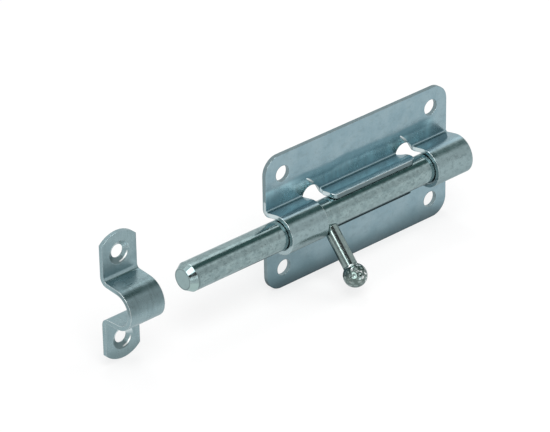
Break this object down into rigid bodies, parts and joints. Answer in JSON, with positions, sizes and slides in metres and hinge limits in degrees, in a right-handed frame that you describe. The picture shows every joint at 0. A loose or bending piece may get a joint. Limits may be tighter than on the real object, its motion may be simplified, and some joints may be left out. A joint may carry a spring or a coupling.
{
  "type": "slide bolt",
  "caption": "Door slide bolt: a round rod with a ball knob slides and turns in the tunnels of a pressed sheet plate, beside an arched strike.",
  "frame": {"origin": "centre of the plate's four screw holes, on the plate's back face", "axes": "+X along the rod, away from the strike; +Y into the door, so -Y is the front; +Z across the plate, towards the ledge"},
  "size_m": [0.1471, 0.0261, 0.0486],
  "materials": {
    "zinc_plate": "pressed steel sheet, bright zinc plating with a blue cast",
    "zinc_rod": "drawn steel bar, bright zinc plating",
    "zinc_knob": "turned steel, bright zinc plating",
    "zinc_strike": "pressed steel strap, bright zinc plating with a blue cast"
  },
  "bodies": {
    "base": {"plate": "zinc_plate", "strike": "zinc_strike"},
    "rod": {"rod": "zinc_rod"},
    "knob": {"knob": "zinc_knob"}
  },
  "joints": [
    {"name": "rod_slide", "type": "slide", "parent": "base", "child": "rod", "axis": [1, 0, 0], "range_m": [-0.0011, 0.0423]},
    {"name": "knob_turn", "type": "hinge", "parent": "rod", "child": "knob", "pos_m": [-0.0206, -0.0074, 0], "axis": [-1, 0, 0], "range_deg": [-46, 141.9]}
  ]
}
